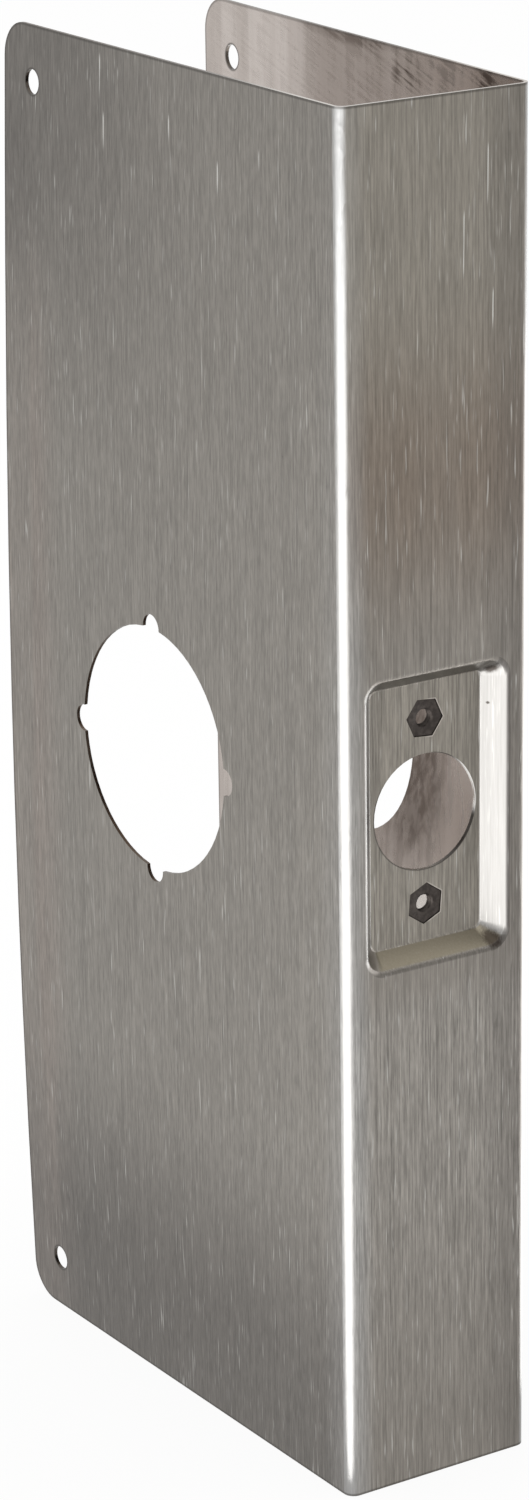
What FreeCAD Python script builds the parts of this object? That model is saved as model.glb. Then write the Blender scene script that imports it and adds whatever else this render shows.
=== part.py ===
import FreeCAD, Part
import math
import os

os.makedirs("parts", exist_ok=True)

vec = FreeCAD.Vector

# Millimetres. Origin on the axis of the cross hole, halfway through the door.
# +X points out of the door's edge, the near leaf is on -Y, +Z is up.

# the folded sheet
sheet = 0.76
height = 304.8
leaf_depth = 131.3
bend_outer = 2.5
leaf_corner = 7.94

# the door it wraps, and the play inside the channel
door_thickness = 44.45
door_play = 0.8

# the lock hole through both leaves, with four round notches on its edge
cross_dia = 55.56
notch_dia = 6.2
cross_to_edge = 72.4

# how far each leaf is sprung open, in degrees; the near one bows along its height
far_splay = 1.9
near_splay = [(0.0, 1.45), (0.25, 2.15), (0.5, 2.2), (0.75, 1.6), (1.0, 0.5)]

# the screw holes near the free corners
screw_dia = 5.6
screw_from_free_edge = 11.9
screw_from_end = 12.4

# the stamped recess for the latch front: its rim stands in from the bends, its walls lean in
rim_margin = 3.08
rim_corner = 4.2
side_inset = 3.8
end_inset = 3.45
floor_tall = 57.5
floor_corner = 1.6
recess_depth = 4.9
rim_round = 1.5
floor_round = 0.7

# the latch hole in the floor of the recess
latch_dia = 25.7

# the two thread nuts set in hexagonal holes in the floor
nut_spacing = 41.3
nut_flats = 7.94
nut_play = 0.05
nut_sunk = 0.2
nut_behind = 1.5
nut_collar_dia = 10.4
thread_minor = 3.45
thread_major = 4.17
upper_turn = -5.5
lower_turn = 25.0

# sizes worked out from the ones above
half_height = height / 2
inside = door_thickness + door_play
outside = inside + 2 * sheet
edge_x = cross_to_edge
free_x = edge_x - leaf_depth
bend_inner = bend_outer - sheet
bend_x = edge_x - bend_outer
bend_y = outside / 2 - bend_outer
floor_x = edge_x - recess_depth
rim_wide = 2 * (bend_y - rim_margin)
rim_tall = floor_tall + 2 * end_inset
floor_wide = rim_wide - 2 * side_inset
wall_lean = math.atan2(side_inset, recess_depth)
back_grow = sheet * (1 / math.cos(wall_lean) - math.tan(wall_lean))


def box(x0, x1, y0, y1, z0, z1):
    return Part.makeBox(x1 - x0, y1 - y0, z1 - z0, vec(x0, y0, z0))


def sideWire(side, splay, z):
    # one bend and its leaf in section, a little past the free edge
    s = math.radians(splay)
    centre = vec(bend_x, side * bend_y, z)
    across = vec(math.sin(s), side * math.cos(s), 0)
    along = vec(-math.cos(s), side * math.sin(s), 0)
    half = vec(math.cos((math.pi / 2 - s) / 2), side * math.sin((math.pi / 2 - s) / 2), 0)
    out = vec(1, 0, 0)
    run = (bend_x + bend_outer * math.sin(s) - free_x + 1.0) / math.cos(s)
    a0 = centre + out * bend_outer
    a1 = centre + half * bend_outer
    a2 = centre + across * bend_outer
    a3 = a2 + along * run
    b0 = centre + out * bend_inner
    b1 = centre + half * bend_inner
    b2 = centre + across * bend_inner
    b3 = b2 + along * run
    edges = [
        Part.Arc(a0, a1, a2).toShape(),
        Part.makeLine(a2, a3),
        Part.makeLine(a3, b3),
        Part.makeLine(b3, b2),
        Part.Arc(b2, b1, b0).toShape(),
        Part.makeLine(b0, a0),
    ]
    return Part.Wire(edges)


def roundedLoop(wide, tall, corner, x):
    # a rounded rectangle in the plane x, centred on the origin's axis
    w = wide / 2
    h = tall / 2
    c = corner
    k = c * (1 - math.sqrt(0.5))
    edges = [
        Part.makeLine(vec(x, -w + c, -h), vec(x, w - c, -h)),
        Part.Arc(vec(x, w - c, -h), vec(x, w - k, -h + k), vec(x, w, -h + c)).toShape(),
        Part.makeLine(vec(x, w, -h + c), vec(x, w, h - c)),
        Part.Arc(vec(x, w, h - c), vec(x, w - k, h - k), vec(x, w - c, h)).toShape(),
        Part.makeLine(vec(x, w - c, h), vec(x, -w + c, h)),
        Part.Arc(vec(x, -w + c, h), vec(x, -w + k, h - k), vec(x, -w, h - c)).toShape(),
        Part.makeLine(vec(x, -w, h - c), vec(x, -w, -h + c)),
        Part.Arc(vec(x, -w, -h + c), vec(x, -w + k, -h + k), vec(x, -w + c, -h)).toShape(),
    ]
    return Part.Wire(edges)


def hexagon(flats, turn, y, z, x0, x1):
    radius = flats / math.sqrt(3)
    points = []
    for i in range(7):
        a = math.radians(turn + 60 * i)
        points.append(vec(x0, y + radius * math.cos(a), z + radius * math.sin(a)))
    face = Part.Face(Part.makePolygon(points))
    return face.extrude(vec(x1 - x0, 0, 0))


def acrossY(dia, x, z):
    return Part.makeCylinder(dia / 2, 200, vec(x, -100, z), vec(0, 1, 0))


def latchRecess():
    # the stamping: a tapered pan in front and the same pan one sheet further back
    front = Part.makeLoft(
        [roundedLoop(rim_wide, rim_tall, rim_corner, edge_x),
         roundedLoop(floor_wide, floor_tall, floor_corner, floor_x)], True, True)
    grow = 2 * back_grow
    back = Part.makeLoft(
        [roundedLoop(rim_wide + grow, rim_tall + grow, rim_corner + back_grow, edge_x - sheet),
         roundedLoop(floor_wide + grow, floor_tall + grow, floor_corner + back_grow,
                     floor_x - sheet)], True, True)
    return front, back


def edgesAt(shape, x, wide, tall):
    # the closed run of edges lying in the plane x, inside a wide by tall frame
    found = []
    for e in shape.Edges:
        b = e.BoundBox
        flat = abs(b.XMin - x) < 1e-3 and abs(b.XMax - x) < 1e-3
        small = max(abs(b.YMin), abs(b.YMax)) < wide / 2 + 0.05
        low = max(abs(b.ZMin), abs(b.ZMax)) < tall / 2 + 0.05
        if flat and small and low:
            found.append(e)
    return found


def edgeWall():
    # the flat edge face with the recess drawn into it
    wall = box(edge_x - sheet, edge_x, -bend_y, bend_y, -half_height, half_height)
    front, back = latchRecess()
    wall = wall.fuse(back).removeSplitter().cut(front)
    grow = 2 * back_grow
    wall = wall.makeFillet(rim_round, edgesAt(wall, edge_x, rim_wide, rim_tall))
    wall = wall.makeFillet(floor_round, edgesAt(wall, floor_x, floor_wide, floor_tall))
    wall = wall.makeFillet(
        rim_round - 0.6, edgesAt(wall, edge_x - sheet, rim_wide + grow, rim_tall + grow))
    wall = wall.makeFillet(
        floor_round + sheet,
        edgesAt(wall, floor_x - sheet, floor_wide + grow, floor_tall + grow))
    return wall


def nearSide():
    wires = []
    for share, splay in near_splay:
        wires.append(sideWire(-1, splay, -half_height + share * height))
    return Part.makeLoft(wires, True, False)


def farSide():
    return Part.Face(sideWire(1, far_splay, -half_height)).extrude(vec(0, 0, height))


def leafOutline():
    # the side view of the whole plate: square at the bends, rounded at the free corners
    blank = box(free_x, edge_x + 1, -50, 50, -half_height, half_height)
    corners = []
    for e in blank.Edges:
        b = e.BoundBox
        if b.YLength > 99 and b.XMax < free_x + 0.1:
            corners.append(e)
    return blank.makeFillet(leaf_corner, corners)


def wrapPlate():
    plate = edgeWall().fuse([nearSide(), farSide()]).removeSplitter()
    plate = plate.common(leafOutline())
    cutters = [acrossY(cross_dia, 0, 0)]
    for i in range(4):
        a = math.radians(90 * i)
        reach = cross_dia / 2
        cutters.append(acrossY(notch_dia, reach * math.cos(a), reach * math.sin(a)))
    for side in (-1, 1):
        z = side * (half_height - screw_from_end)
        cutters.append(acrossY(screw_dia, free_x + screw_from_free_edge, z))
    cutters.append(Part.makeCylinder(latch_dia / 2, 40, vec(floor_x - 20, 0, 0), vec(1, 0, 0)))
    seat = nut_flats + 2 * nut_play
    for side, turn in ((1, upper_turn), (-1, lower_turn)):
        z = side * nut_spacing / 2
        cutters.append(hexagon(seat, turn, 0, z, floor_x - 10, floor_x + 1))
    return plate.cut(cutters).removeSplitter()


def latchNut(z, turn):
    face_x = floor_x - nut_sunk
    back_x = floor_x - sheet
    end_x = back_x - nut_behind
    body = hexagon(nut_flats, turn, 0, z, back_x, face_x)
    collar = Part.makeCylinder(nut_collar_dia / 2, nut_behind, vec(end_x, 0, z), vec(1, 0, 0))
    nut = body.fuse(collar)
    bore = Part.makeCylinder(thread_minor / 2, 10, vec(end_x - 3, 0, z), vec(1, 0, 0))
    lead = (thread_major - thread_minor) / 2
    mouth = Part.makeCone(thread_minor / 2, thread_major / 2 + 0.1, lead + 0.1,
                          vec(face_x - lead - 0.1, 0, z), vec(1, 0, 0))
    return nut.cut([bore, mouth]).removeSplitter()


parts = {
    "wrap_plate": wrapPlate(),
    "upper_latch_nut": latchNut(nut_spacing / 2, upper_turn),
    "lower_latch_nut": latchNut(-nut_spacing / 2, lower_turn),
}

for name, shape in parts.items():
    if len(shape.Solids) == 1:
        shape = shape.Solids[0]
    shape.exportStep("parts/" + name + ".step")
    b = shape.BoundBox
    print(name, shape.isValid(), len(shape.Solids), "faces", len(shape.Faces),
          "volume", round(shape.Volume, 1),
          [round(v, 2) for v in (b.XMin, b.XMax, b.YMin, b.YMax, b.ZMin, b.ZMax)])
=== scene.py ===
import bpy, bmesh, math
from mathutils import Matrix, Vector


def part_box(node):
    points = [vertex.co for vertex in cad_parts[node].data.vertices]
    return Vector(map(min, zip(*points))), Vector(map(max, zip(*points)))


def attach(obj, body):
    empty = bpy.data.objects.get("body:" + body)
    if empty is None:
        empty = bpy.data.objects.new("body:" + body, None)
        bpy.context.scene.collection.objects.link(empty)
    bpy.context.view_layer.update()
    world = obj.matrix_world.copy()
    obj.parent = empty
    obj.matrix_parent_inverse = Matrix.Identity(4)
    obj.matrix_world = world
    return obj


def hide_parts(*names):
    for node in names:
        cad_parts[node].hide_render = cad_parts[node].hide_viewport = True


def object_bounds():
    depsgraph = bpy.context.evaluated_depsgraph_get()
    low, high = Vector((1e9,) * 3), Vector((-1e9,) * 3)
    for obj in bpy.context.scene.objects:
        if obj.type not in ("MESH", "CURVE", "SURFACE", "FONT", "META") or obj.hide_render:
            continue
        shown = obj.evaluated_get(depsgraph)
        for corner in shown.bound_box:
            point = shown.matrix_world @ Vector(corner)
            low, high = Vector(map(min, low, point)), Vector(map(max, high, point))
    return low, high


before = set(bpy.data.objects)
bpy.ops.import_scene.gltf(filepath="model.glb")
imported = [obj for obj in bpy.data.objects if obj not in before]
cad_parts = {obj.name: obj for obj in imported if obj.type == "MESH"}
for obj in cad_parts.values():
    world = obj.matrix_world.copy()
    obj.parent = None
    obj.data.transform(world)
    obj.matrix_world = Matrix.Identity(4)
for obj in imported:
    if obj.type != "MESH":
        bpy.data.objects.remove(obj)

cadLow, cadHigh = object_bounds()
scene = bpy.context.scene
scene.view_settings.view_transform = "Standard"
print("frame loaded:", sorted(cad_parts))

# camera, placed by the plate's own corners and holes
cameraSet = {
    "place": (0.82112, -0.51384, 0.32162),
    "right": (0.540654, 0.841159, -0.01204),
    "up": (-0.265752, 0.184356, 0.94625),
    "back": (0.798166, -0.508394, 0.323212),
    "lens": 110.34,
    "shift": (-0.0161, 0.0112),
}


def makeCamera(values):
    data = bpy.data.cameras.new("photoCamera")
    data.lens = values["lens"]
    data.sensor_width = 36
    data.shift_x, data.shift_y = values["shift"]
    data.clip_start = 0.05
    data.clip_end = 50
    camera = bpy.data.objects.new("photoCamera", data)
    scene.collection.objects.link(camera)
    turn = Matrix((values["right"], values["up"], values["back"])).transposed()
    camera.matrix_world = Matrix.Translation(values["place"]) @ turn.to_4x4()
    scene.camera = camera


makeCamera(cameraSet)
print("camera set")


class Sock:
    # a node's output that can stand in a sum
    def __init__(self, tree, out):
        self.tree = tree
        self.out = out

    def sum(self, operation, *values):
        return self.tree.node("Math", {"operation": operation}, *values)

    def __add__(self, other):
        return self.sum("ADD", self, other)

    def __radd__(self, other):
        return self.sum("ADD", other, self)

    def __sub__(self, other):
        return self.sum("SUBTRACT", self, other)

    def __rsub__(self, other):
        return self.sum("SUBTRACT", other, self)

    def __mul__(self, other):
        return self.sum("MULTIPLY", self, other)

    def __rmul__(self, other):
        return self.sum("MULTIPLY", other, self)

    def __gt__(self, other):
        return self.sum("GREATER_THAN", self, other)

    def __lt__(self, other):
        return self.sum("LESS_THAN", self, other)

    def __abs__(self):
        return self.sum("ABSOLUTE", self)


class Tree:
    # the nodes of one material or of the world
    def __init__(self, owner):
        owner.use_nodes = True
        self.tree = owner.node_tree
        self.tree.nodes.clear()

    def plug(self, socket, value):
        if isinstance(value, Sock):
            self.tree.links.new(value.out, socket)
        elif hasattr(value, "__len__") and socket.type == "RGBA":
            socket.default_value = (*value[:3], 1.0)
        else:
            socket.default_value = value

    def node(self, kind, settings, *values, out=0, **named):
        made = self.tree.nodes.new("ShaderNode" + kind)
        for key, value in settings.items():
            setattr(made, key, value)
        for socket, value in zip(made.inputs, values):
            if value is not None:
                self.plug(socket, value)
        for key, value in named.items():
            self.plug(made.inputs[key], value)
        return Sock(self, made.outputs[out]) if len(made.outputs) else None

    def blend(self, share, first, second, way="MIX"):
        settings = {"data_type": "RGBA", "blend_type": way}
        return self.node("Mix", settings, share, *[None] * 5, first, second, out=2)

    def ramp(self, value, low, high, first=0.0, second=1.0):
        settings = {"interpolation_type": "SMOOTHSTEP"}
        return self.node("MapRange", settings, value, low, high, first, second)

    def noise(self, place, scale, detail=2.0, rough=0.5):
        stretched = self.node("VectorMath", {"operation": "MULTIPLY"}, place, scale)
        values = {"Vector": stretched, "Scale": 1.0, "Detail": detail, "Roughness": rough}
        return self.node("TexNoise", {}, **values)

    def larger(self, first, second):
        return self.node("Math", {"operation": "MAXIMUM"}, first, second)

    def gap(self, x, y, z, point=(0.0, 0.0, 0.0)):
        # how far a place is from a point
        joined = self.node("CombineXYZ", {}, x, y, z)
        return self.node("VectorMath", {"operation": "DISTANCE"}, joined, point, out=1)


def newMaterial(name):
    material = bpy.data.materials.new(name)
    return material, Tree(material)


# the sheet: brushed outside, smooth rolled finish inside, bright sheared edges
sheetSet = {
    "bendY": 0.020885,
    "bendX": 0.0699,
    "cornerX": -0.05096,
    "cornerZ": 0.14446,
    "cornerR": 0.00794,
    "floorX": 0.0675,
    "latchR": 0.01285,
    "outside": (0.233, 0.218, 0.197),
    "burnishAndHighlight": (0.405, 0.403, 0.397),
    "scratch": (0.60, 0.59, 0.56),
    "brown": (0.186, 0.150, 0.120),
    "reflectionTint": (0.258, 0.224, 0.200),
    "straw": (0.272, 0.250, 0.206),
    "olive": (0.215, 0.190, 0.140),
    "pale": (0.272, 0.256, 0.234),
    "paintedShade": (0.105, 0.096, 0.089),
    "insideDark": (0.455, 0.405, 0.372),
    "insideLight": (0.535, 0.482, 0.448),
    "insideBrown": (0.300, 0.255, 0.228),
    "smudgeAndShade": (0.105, 0.078, 0.062),
    "paleAndGlint": (0.90, 0.88, 0.85),
    "paleSpot": (0.0312, 0.0, -0.0369),
    "cutEdgeAndHighlight": (0.50, 0.46, 0.42),
    "cutDark": (0.105, 0.080, 0.062),
    "burrAndShade": (0.060, 0.054, 0.048),
    "spot": (0.030, 0.022, 0.017),
    "outsideRough": 0.31,
    "insideRough": 0.20,
    "stretch": 0.6,
    # brushed grain, in noise cells per metre along x, y and z
    "fineGrain": (2700, 2700, 290),
    "strokes": (2100, 2100, 68),
    "throughLines": (2400, 2400, 9),
    "hairlines": (2300, 2300, 120),
    # long scratches on the edge face: y, top z, bottom z
    "scratches": [(0.0125, 0.1418, 0.1280), (0.0066, 0.1286, 0.1136), (0.0138, 0.1119, 0.1022)],
    "scratchHalf": 0.00012,
    "scratchLean": 0.012,
    # and on the near leaf: x, top z, bottom z
    "nearScratches": [(-0.0187, 0.1507, 0.1390), (-0.0172, 0.1385, 0.1290), (-0.0113, 0.1487, 0.1450),
                      (0.0090, 0.1419, 0.1350), (0.0277, 0.1350, 0.1268), (0.0434, 0.1399, 0.1343)],
    "nearScratchHalf": 0.00021,
    # the nuts' hexagonal seats: z, turn in degrees
    "seats": [(0.02065, -5.5), (-0.02065, 25.0)],
    "seatHalf": 0.00402,
    "screwSpot": (-0.0470, 0.0, 0.1400),
    "screwR": 0.0028,
    # dark spots in the recess: y, z, radius
    "darkSpots": [(0.0152, 0.0294, 0.0015), (0.0148, -0.0308, 0.0024),
             (0.0151, 0.0216, 0.0004), (-0.0166, -0.0071, 0.0004)],
    # dark smears inside the far leaf: x, z, reach along x, reach along z, share, softness
    "smears": [(0.002, 0.1524, 0.024, 0.0028, 0.7, 0.6), (0.014, 0.1508, 0.012, 0.0030, 0.30, 0.0),
               (0.026, 0.1462, 0.007, 0.0050, 1.0, 0.1), (0.038, 0.1500, 0.020, 0.0070, 0.35, 0.0),
               (0.056, 0.1500, 0.006, 0.0042, 1.0, 0.1)],
}


def sheetMaterial(s):
    material, t = newMaterial("brushedSheet")
    place = t.node("TexCoord", {}, out=3)
    facing = t.node("TexCoord", {}, out=1)
    x = t.node("SeparateXYZ", {}, place, out=0)
    y = t.node("SeparateXYZ", {}, place, out=1)
    z = t.node("SeparateXYZ", {}, place, out=2)
    nx = t.node("SeparateXYZ", {}, facing, out=0)
    ny = t.node("SeparateXYZ", {}, facing, out=1)
    nz = t.node("SeparateXYZ", {}, facing, out=2)
    onEdgeFace = abs(y) < s["bendY"]
    pastBend = t.larger(onEdgeFace, x > s["bendX"])
    side = t.node("Math", {"operation": "SIGN"}, y)
    outward = nx * pastBend + ny * side * (1.0 - onEdgeFace)   # 1 outside, -1 inside, 0 on a cut edge
    inRecess = onEdgeFace * t.ramp(x, s["bendX"] + 0.0021, s["bendX"] + 0.0016)
    offFloor = x > s["floorX"] + 0.0003
    lowWall = inRecess * t.ramp(nz, 0.35, 0.6) * offFloor
    highWall = inRecess * t.ramp(nz, -0.35, -0.6) * offFloor
    leftWall = inRecess * t.ramp(ny, 0.55, 0.68) * (y < 0.0)
    inside = t.ramp(outward, 0.1, -0.1)
    cut = t.ramp(abs(outward), 0.45, 0.25) * (1.0 - inRecess * (x > s["floorX"] + 0.0001))

    # tarnish: brown above the recess, straw patches at the top, pale below the recess;
    # painted shade toward the far bend, at the foot, the top corner and the free edge of the near
    # leaf, with a painted reflection tint in a band along that free edge
    broad = t.noise(place, (90, 90, 5.0), 2.0, 0.5)
    cloud = t.noise(place, (18, 18, 11), 2.0, 0.5)
    onNear = t.ramp(y, -0.0210, -0.0225)
    offNear = 1.0 - onNear
    base = t.blend(offNear * 0.12, s["outside"], s["brown"])
    above = t.ramp(z, 0.034, 0.072) * t.ramp(z, 0.122, 0.078) * offNear
    base = t.blend(above * (0.48 + broad * 0.5), base, s["brown"])
    patches = 0.35 + t.ramp(cloud, 0.44, 0.64) * 0.45
    base = t.blend(patches * t.ramp(z, 0.070, 0.115) * offNear, base, s["straw"])
    below = t.ramp(z, -0.034, -0.044) * t.ramp(z, -0.15, -0.07) * offNear
    base = t.blend(below * 0.65, base, s["pale"])
    # painted shade, darker toward the far bend
    base = t.blend(t.ramp(y, 0.008, 0.021) * 0.38, base, s["paintedShade"])
    # painted shade at the foot, the top corner and the upper free edge of the near leaf
    foot = t.ramp(z, -0.074, -0.131) * onNear
    base = t.blend(foot * (0.61 + t.ramp(x, 0.06, -0.04) * 0.11), base, s["paintedShade"])
    topCorner = t.ramp(z, 0.050, 0.145) * t.ramp(x, 0.035, -0.05)
    base = t.blend(topCorner * onNear * 0.52, base, s["paintedShade"])
    freeTop = t.ramp(x, -0.0445, -0.0520) * t.ramp(z, 0.085, 0.112) * t.ramp(z, 0.142, 0.130)
    base = t.blend(freeTop * onNear * 0.22, base, s["paintedShade"])
    # painted reflection tint in a band along the lower free edge of the near leaf
    free = t.ramp(x, -0.034, -0.051) * onNear * t.ramp(z, 0.120, 0.060)
    reflectionTintShare = (0.30 + t.ramp(broad, 0.40, 0.62) * 0.45) * (1.0 - foot * 0.35)
    base = t.blend(free * reflectionTintShare, base, s["reflectionTint"])

    # bends and drawn walls are burnished by the forming, with a painted highlight along the crest of
    # a bend and a painted halo of that highlight beside it
    crestBurnishAndHighlight = t.ramp(nx * 0.60 + abs(ny) * 0.80, 0.72, 1.0) * (1.0 - onEdgeFace) * (x > s["bendX"])
    drawn = t.ramp(abs(ny), 0.10, 0.55) * onEdgeFace
    haloOnFace = t.ramp(y, -0.0160, -0.0213) * pastBend * 0.45
    haloOnLeaf = t.ramp(x, 0.0610, 0.0712) * onNear * 0.22
    highlightHalo = haloOnFace + haloOnLeaf
    # painted highlight along the bend's crest, stronger toward the top
    crestHighlightShare = crestBurnishAndHighlight * (0.74 + t.ramp(z, 0.02, 0.13) * 0.24)
    burnishHighlightShare = t.larger(crestHighlightShare, highlightHalo * (0.35 + t.ramp(z, 0.13, 0.0) * 0.65))
    # burnish with a painted highlight on the drawn walls of the recess
    drawnBurnishAndHighlightShare = drawn * (1.0 - burnishHighlightShare) * (0.52 + (y < 0.0) * 0.35)
    base = t.blend(burnishHighlightShare + drawnBurnishAndHighlightShare, base, s["burnishAndHighlight"])
    # painted shade that softens the highlight on the recess's right rim
    paintedRimShade = onEdgeFace * (y > 0.0155) * t.ramp(ny, -0.76, -0.45) * t.ramp(ny, -0.03, -0.14)
    base = t.blend(paintedRimShade * 0.62, base, s["paintedShade"])
    base = t.blend(inRecess * (1.0 - drawn) * 0.30, base, s["straw"])
    leftShade = t.ramp(y, -0.0085, -0.0135) * t.ramp(z, -0.014, 0.016)
    base = t.blend(inRecess * leftShade * 0.30, base, s["paintedShade"])

    # brushed grain: short fine strokes, longer ones, some through lines and a few bright hairlines
    fine = t.noise(place, s["fineGrain"], 2.0, 0.6)
    stroke = t.noise(place, s["strokes"], 3.0, 0.6)
    through = t.noise(place, s["throughLines"], 2.0, 0.5)
    fineShare = 0.40 - offNear * 0.16
    grain = fine * fineShare + stroke * (0.78 - fineShare) + through * 0.22
    reach = (0.64 + below * 0.32 + inRecess * 0.25) * (1.0 - crestBurnishAndHighlight * 0.5) * (1.0 - drawn * 0.75)
    base = t.blend(1.0, base, 1.0 + (t.ramp(grain, 0.28, 0.74) - 0.5) * reach, "MULTIPLY")
    hair = t.ramp(t.noise(place, s["hairlines"], 1.0, 0.5), 0.64, 0.80)
    base = t.blend(hair * (1.0 - crestBurnishAndHighlight) * 0.46, base, s["scratch"])

    lines = []
    for at, high, low in s["scratches"]:
        leaning = abs(y - at + (high - z) * s["scratchLean"])
        lines.append((leaning < s["scratchHalf"], x > s["bendX"], high, low, 1.0))
    for at, high, low in s["nearScratches"]:
        lines.append((abs(x - at) < s["nearScratchHalf"], onNear, high, low, 0.9))
    for line, where, highZ, lowZ, share in lines:
        fade = t.ramp(z, highZ, highZ - 0.002) * t.ramp(z, lowZ, lowZ + 0.004)
        base = t.blend(line * where * fade * t.ramp(stroke, 0.25, 0.60) * share, base, s["scratch"])

    # the recess: an olive lower wall, painted shade on its lower rim, its upper and left walls and
    # the lower side of the latch hole's rim, a painted lightening of its lower left corner, dark
    # spots in its corners
    base = t.blend(lowWall * 0.85, base, s["olive"])
    # painted shade along the lower rim
    lowEnd = onEdgeFace * (z < -0.030) * (x > s["floorX"] + 0.003)
    lowRim = lowEnd * t.ramp(nz, 0.05, 0.28) * t.ramp(nz, 0.72, 0.46)
    base = t.blend(lowRim * 0.42, base, s["burrAndShade"])
    # painted shade on the upper and left walls
    base = t.blend(highWall * 0.48, base, s["burrAndShade"])
    base = t.blend(leftWall * 0.55, base, s["burrAndShade"])
    # painted light that lifts the lower left corner
    corner = onEdgeFace * (y < 0.0) * t.ramp(ny, 0.10, 0.30) * t.ramp(nz, 0.10, 0.30)
    base = t.blend(corner * 0.7, base, s["cutEdgeAndHighlight"])
    for spotY, spotZ, radius in s["darkSpots"]:
        away = t.gap(0.0, y, z, (0.0, spotY, spotZ))
        spot = t.ramp(away + (fine - 0.5) * radius * 0.6, radius, radius * 0.35) * onEdgeFace
        base = t.blend(spot * 0.85, base, s["spot"])
    # painted shade on the lower side of the latch hole's rim
    latch = t.gap(0.0, y, z)
    ring = t.ramp(latch, s["latchR"] + 0.00035, s["latchR"] + 0.00010) * inRecess
    base = t.blend(ring * t.ramp(z + y * 0.6, 0.002, -0.004) * 0.75, base, s["burrAndShade"])

    for seatZ, turn in s["seats"]:
        across = 0.0
        for k in range(3):
            a = math.radians(turn + 30 + 60 * k)
            flat = abs(y * math.cos(a) + (z - seatZ) * math.sin(a))
            across = t.larger(flat, across)
        # painted highlight on the +y side of each nut seat's lip
        lipHighlight = t.ramp(across, s["seatHalf"] + 0.00032, s["seatHalf"] + 0.00008) * inRecess
        base = t.blend(lipHighlight * t.ramp(y, 0.0, 0.0015) * 0.7, base, s["cutEdgeAndHighlight"])

    # inside: rolled finish, browner toward the bends, with oily smears
    roll = t.noise(place, (170, 170, 2.2), 3.0, 0.55)
    inner = t.blend(t.ramp(roll, 0.35, 0.65), s["insideDark"], s["insideLight"])
    brown = t.ramp(x, -0.025, -0.007) * (0.92 - t.ramp(x, 0.008, 0.038) * 0.80)
    inner = t.blend(brown, inner, s["insideBrown"])
    slant = t.node("CombineXYZ", {}, x * 0.96 - z * 0.28, y, x * 0.28 + z * 0.96)
    wipe = t.noise(slant, (75, 75, 1300), 3.0, 0.65)
    oil = t.noise(place, (300, 300, 70), 4.0, 0.6)
    streaky = t.ramp(z, 0.08, 0.11) * 0.5
    smeary = t.ramp(wipe * streaky + oil * (1.0 - streaky), 0.44, 0.60)
    inner = t.blend(smeary * 0.07, inner, s["smudgeAndShade"])
    # painted shade next to the far cross hole, and one pale spot seen through the lower nut
    onFar = y > 0.0
    fromHole = t.gap(x, 0.0, z)
    rub = t.ramp(t.noise(slant, (420, 420, 190), 3.0, 0.55), 0.36, 0.62)
    # painted shade inside the channel beside the far cross hole
    shade = t.ramp(fromHole, 0.0470, 0.0345) * t.ramp(z, -0.037, -0.018)
    shade = shade * t.ramp(x, 0.010, 0.024) * onFar
    inner = t.blend(shade * (0.58 + rub * 0.34), inner, s["smudgeAndShade"])
    paleGap = t.gap(x, 0.0, z, s["paleSpot"])
    inner = t.blend(t.ramp(paleGap, 0.0050, 0.0025) * onFar * 0.8, inner, s["paleAndGlint"])
    for smearX, smearZ, reachX, reachZ, share, soft in s["smears"]:
        awayX = abs(x - smearX) * (1 / reachX)
        awayZ = abs(z - smearZ) * (1 / reachZ)
        near = t.ramp(awayX * awayX + awayZ * awayZ, 1.0, 0.1) * onFar
        inner = t.blend(near * (soft + smeary * (1 - soft)) * share, inner, s["smudgeAndShade"])

    # burrs along the leaves' outlines, cut edges, painted shade and a painted glint on the wall of
    # the latch hole, painted shade around the screw holes
    colour = t.blend(inside, base, inner)
    pastX = t.node("Math", {"operation": "MINIMUM"}, x - s["cornerX"], 0.0)
    pastZ = t.larger(abs(z) - s["cornerZ"], 0.0)
    outline = t.gap(pastX, 0.0, pastZ)
    burrAndShade = t.ramp(outline, s["cornerR"] - 0.0007, s["cornerR"] - 0.0003)
    colour = t.blend(burrAndShade * (0.6 - inside * 0.15), colour, s["burrAndShade"])
    colour = t.blend(cut, colour, t.blend(t.ramp(x, 0.020, 0.060), s["cutDark"], s["cutEdgeAndHighlight"]))
    # painted shade on the latch hole's wall, with a painted glint band
    latchWall = onEdgeFace * (latch < s["latchR"] + 0.00015) * t.ramp(y, -0.001, 0.006)
    glint = t.ramp(z, -0.0035, -0.0005) * t.ramp(z, 0.0115, 0.0080)
    colour = t.blend(latchWall, colour, t.blend(glint, s["burrAndShade"], s["paleAndGlint"]))
    # painted shade around the screw holes
    fromScrew = t.gap(x, 0.0, abs(z), s["screwSpot"])
    screwHoleShade = t.ramp(fromScrew, s["screwR"] + 0.0006, s["screwR"] + 0.0001)
    colour = t.blend(screwHoleShade * 0.75, colour, s["burrAndShade"])
    roughOut = s["outsideRough"] + (fine - 0.5) * 0.12
    roughIn = s["insideRough"] + smeary * 0.10
    rough = roughOut * (1.0 - inside) + roughIn * inside
    plainWalls = (1.0 - lowWall) * (1.0 - highWall) * (1.0 - drawn * 0.7)
    height = grain * (1.0 - inside) * plainWalls + roll * 0.25 * inside
    bump = t.node("Bump", {}, Strength=0.2, Distance=0.00003, Height=height)
    values = {"Base Color": colour, "Roughness": rough, "Metallic": 1.0}
    values.update({"Anisotropic": s["stretch"], "Normal": bump})
    shader = t.node("BsdfPrincipled", {}, **values)
    t.node("OutputMaterial", {}, shader)
    return material


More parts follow.
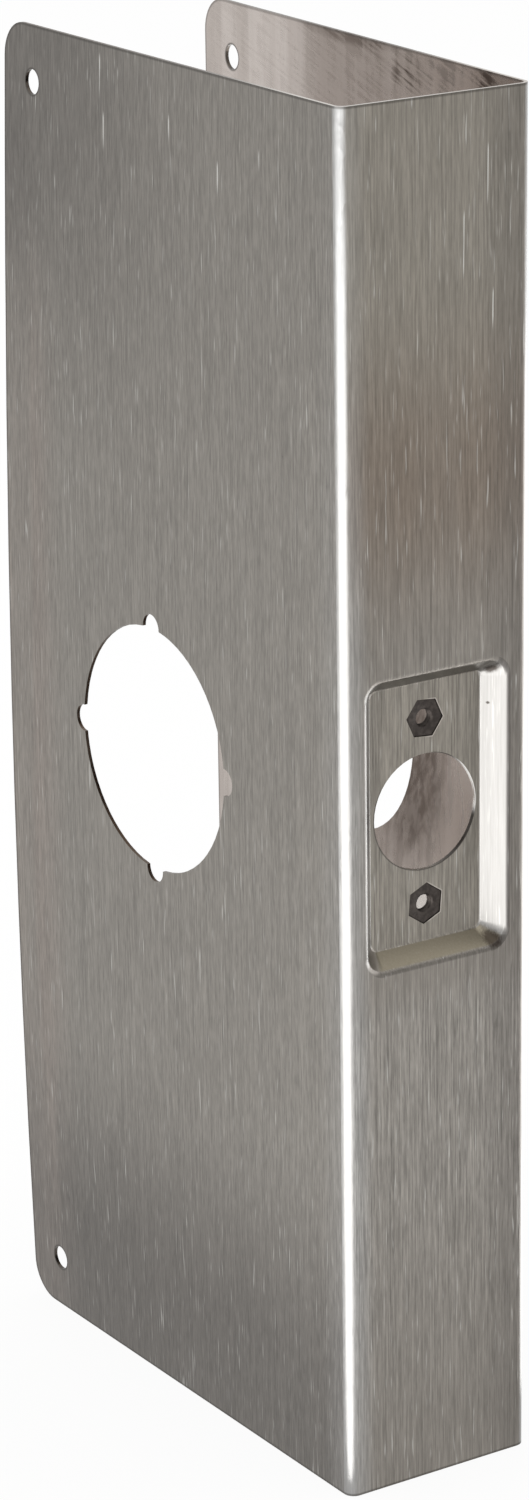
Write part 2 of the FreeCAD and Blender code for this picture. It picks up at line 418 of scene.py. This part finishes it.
# the two thread nuts: black oxide, with a real thread
nutSet = {
    "dark": (0.036, 0.030, 0.027),
    "light": (0.066, 0.056, 0.050),
    "rough": 0.42,
    "flats": 0.00794,
    "minor": 0.001725,
    "major": 0.002085,
    "pitch": 0.00079375,
    "chamfer": 0.00012,
    "frontLead": 0.00042,
    "backLead": 0.0003,
    "ridgeSlope": 2.6,
    "around": 72,
    "steps": 30,
    "upperTurn": -5.5,
    "lowerTurn": 25.0,
    "sheet": 0.00076,
    "sunk": 0.0002,
}


def nutMaterial(s):
    material, t = newMaterial("blackOxide")
    place = t.node("TexCoord", {}, out=3)
    mottle = t.noise(place, (900, 900, 900), 4.0, 0.6)
    wear = t.noise(place, (2600, 2600, 2600), 2.0, 0.5)
    colour = t.blend(t.ramp(mottle, 0.35, 0.7), s["dark"], s["light"])
    bump = t.node("Bump", {}, Strength=0.3, Distance=0.00003, Height=wear)
    rough = s["rough"] + (mottle - 0.5) * 0.25
    values = {"Base Color": colour, "Roughness": rough, "Metallic": 0.85, "Normal": bump}
    shader = t.node("BsdfPrincipled", {}, **values)
    t.node("OutputMaterial", {}, shader)
    return material


def threadNut(name, node, turn, s, material):
    # a nut with a real thread, where the plain nut of the frame sits
    low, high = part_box(node)
    faceX, endX = high.x, low.x
    backX = faceX + s["sunk"] - s["sheet"]
    centreZ = (low.z + high.z) / 2
    collar = (high.z - low.z) / 2
    around = s["around"]
    mouthEdge = s["major"] + s["chamfer"]
    mesh = bmesh.new()

    def ring(radiusAt, x):
        made = []
        for i in range(around):
            a = math.radians(turn) + 2 * math.pi * i / around
            r = radiusAt(2 * math.pi * i / around)
            made.append(mesh.verts.new((x, r * math.cos(a), centreZ + r * math.sin(a))))
        return made

    def hexRadius(shrink):
        def at(a):
            return (s["flats"] / 2 - shrink) / math.cos(a % (math.pi / 3) - math.pi / 6)
        return at

    def threadRadius(x):
        def at(a):
            phase = ((faceX - x) / s["pitch"] - a / (2 * math.pi)) % 1.0
            ridge = max(0.0, 1.0 - abs(phase - 0.5) * s["ridgeSlope"])
            front = max(0.0, s["frontLead"] - (faceX - x))
            mouth = front + max(0.0, s["backLead"] - (x - endX))
            return max(s["major"] - (s["major"] - s["minor"]) * ridge, s["minor"] + mouth)
        return at

    rings = [ring(lambda a: mouthEdge, faceX)]
    rings.append(ring(hexRadius(s["chamfer"]), faceX))
    rings.append(ring(hexRadius(0.0), faceX - s["chamfer"]))
    rings.append(ring(hexRadius(0.0), backX))
    rings.append(ring(lambda a: collar - s["chamfer"], backX))
    rings.append(ring(lambda a: collar, backX - s["chamfer"]))
    rings.append(ring(lambda a: collar, endX + s["chamfer"]))
    rings.append(ring(lambda a: collar - s["chamfer"], endX))
    rings.append(ring(lambda a: mouthEdge, endX))
    for j in range(1, s["steps"]):
        x = endX + (faceX - endX) * j / s["steps"]
        rings.append(ring(threadRadius(x), x))
    rings.append(rings[0])
    for first, second in zip(rings, rings[1:]):
        for i in range(around):
            k = (i + 1) % around
            mesh.faces.new((first[i], second[i], second[k], first[k]))
    bmesh.ops.recalc_face_normals(mesh, faces=mesh.faces)
    for face in mesh.faces:
        face.smooth = True
    for edge in mesh.edges:
        edge.smooth = len(edge.link_faces) == 2 and edge.calc_face_angle() < math.radians(32)
    data = bpy.data.meshes.new(name)
    mesh.to_mesh(data)
    mesh.free()
    data.materials.append(material)
    nut = bpy.data.objects.new(name, data)
    scene.collection.objects.link(nut)
    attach(nut, "root")
    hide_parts(node)


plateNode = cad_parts["wrap_plate"]
plateNode.data.materials.clear()
plateNode.data.materials.append(sheetMaterial(sheetSet))
for face in plateNode.data.polygons:
    face.material_index = 0
print("sheet dressed")

oxide = nutMaterial(nutSet)
threadNut("upperNut", "upper_latch_nut", nutSet["upperTurn"], nutSet, oxide)
threadNut("lowerNut", "lower_latch_nut", nutSet["lowerTurn"], nutSet, oxide)
print("nuts made")

# floor, backdrop and lamps
studioSet = {
    "floorZ": cadLow.z,
    "floorSize": 6.0,
    "floorColour": (0.93, 0.93, 0.92),
    "whiteShare": 0.92,
    "fill": 0.8,
    "lamps": [
        # name, place, turn about z or None to face the middle, width, height, watts
        ("frontFloor", (0.463, -0.861, -0.1520), -20.0, 1.3, 1.3, 14.0),
        ("rightFloor", (-0.095, 0.66, -0.1520), 60.0, 0.9, 0.9, 6.0),
        ("topPanel", (-0.2, -0.1, 1.6), None, 2.6, 2.6, 14.0),
    ],
}


def whiteRays(t):
    camera = t.node("LightPath", {}, out=0)
    glossy = t.node("LightPath", {}, out=3)
    through = t.node("LightPath", {}, out=6)
    return t.larger(t.larger(camera, glossy), through)


def makeStudio(s):
    world = bpy.data.worlds.new("studio")
    scene.world = world
    t = Tree(world)
    strength = s["fill"] + whiteRays(t) * (1.0 - s["fill"])
    background = t.node("Background", {}, Color=(1.0, 1.0, 1.0), Strength=strength)
    t.node("OutputWorld", {}, background)

    mesh = bmesh.new()
    bmesh.ops.create_grid(mesh, x_segments=12, y_segments=12, size=s["floorSize"] / 2)
    data = bpy.data.meshes.new("floor")
    mesh.to_mesh(data)
    mesh.free()
    floor = bpy.data.objects.new("floor", data)
    floor.location.z = s["floorZ"]
    scene.collection.objects.link(floor)
    material, t = newMaterial("paleFloor")
    place = t.node("TexCoord", {}, out=3)
    grain = t.noise(place, (300, 300, 300), 2.0)
    colour = t.blend(grain * 0.06, s["floorColour"], (0.8, 0.8, 0.8))
    matt = t.node("BsdfPrincipled", {}, **{"Base Color": colour, "Roughness": 0.9})
    white = t.node("Emission", {}, Color=(1.0, 1.0, 1.0), Strength=1.0)
    mixed = t.node("MixShader", {}, whiteRays(t) * s["whiteShare"], matt, white)
    t.node("OutputMaterial", {}, mixed)
    data.materials.append(material)

    for name, place, turn, width, height, watts in s["lamps"]:
        data = bpy.data.lights.new(name, "AREA")
        data.shape = "RECTANGLE"
        data.size = width
        data.size_y = height
        data.energy = watts
        lamp = bpy.data.objects.new(name, data)
        lamp.location = place
        if turn is None:
            lamp.rotation_euler = (-Vector(place)).to_track_quat("-Z", "Y").to_euler()
        else:
            lamp.rotation_euler = (math.pi, 0.0, math.radians(turn))   # a glowing patch of floor
        lamp.visible_camera = False
        scene.collection.objects.link(lamp)


makeStudio(studioSet)
print("studio lit")
